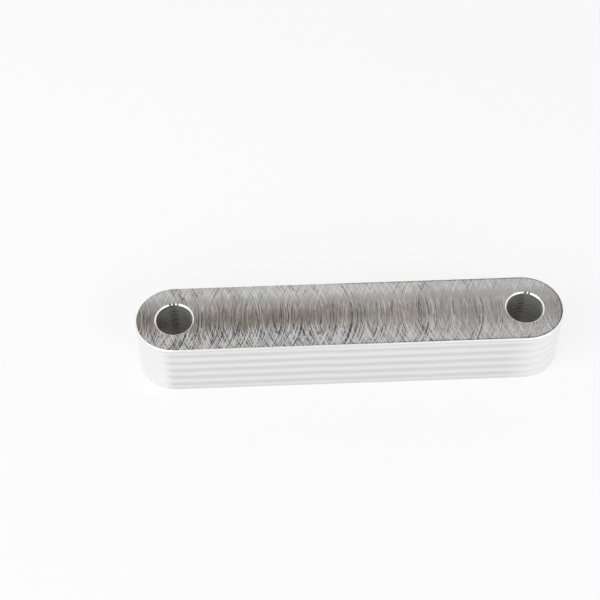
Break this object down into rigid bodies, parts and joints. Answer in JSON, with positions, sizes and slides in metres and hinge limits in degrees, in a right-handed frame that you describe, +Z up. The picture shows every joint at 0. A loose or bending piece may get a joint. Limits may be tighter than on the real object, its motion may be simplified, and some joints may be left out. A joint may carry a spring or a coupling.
{
  "type": "mounting block",
  "caption": "Obround machined aluminium mounting block: flat clamping faces, full round ends and a through bolt hole on the axis of each end.",
  "frame": {"origin": "centre of the bottom clamping face", "axes": "+X along the bar from one bolt hole to the other, +Y across the bar, +Z up along the bolt holes to the top clamping face"},
  "size_m": [0.1396, 0.0254, 0.0222],
  "materials": {
    "milled_aluminium": "bare, as milled: fly-cut clamping faces, side-milled walls, drilled holes"
  },
  "bodies": {
    "root": {"mounting_block": "milled_aluminium"}
  },
  "joints": []
}
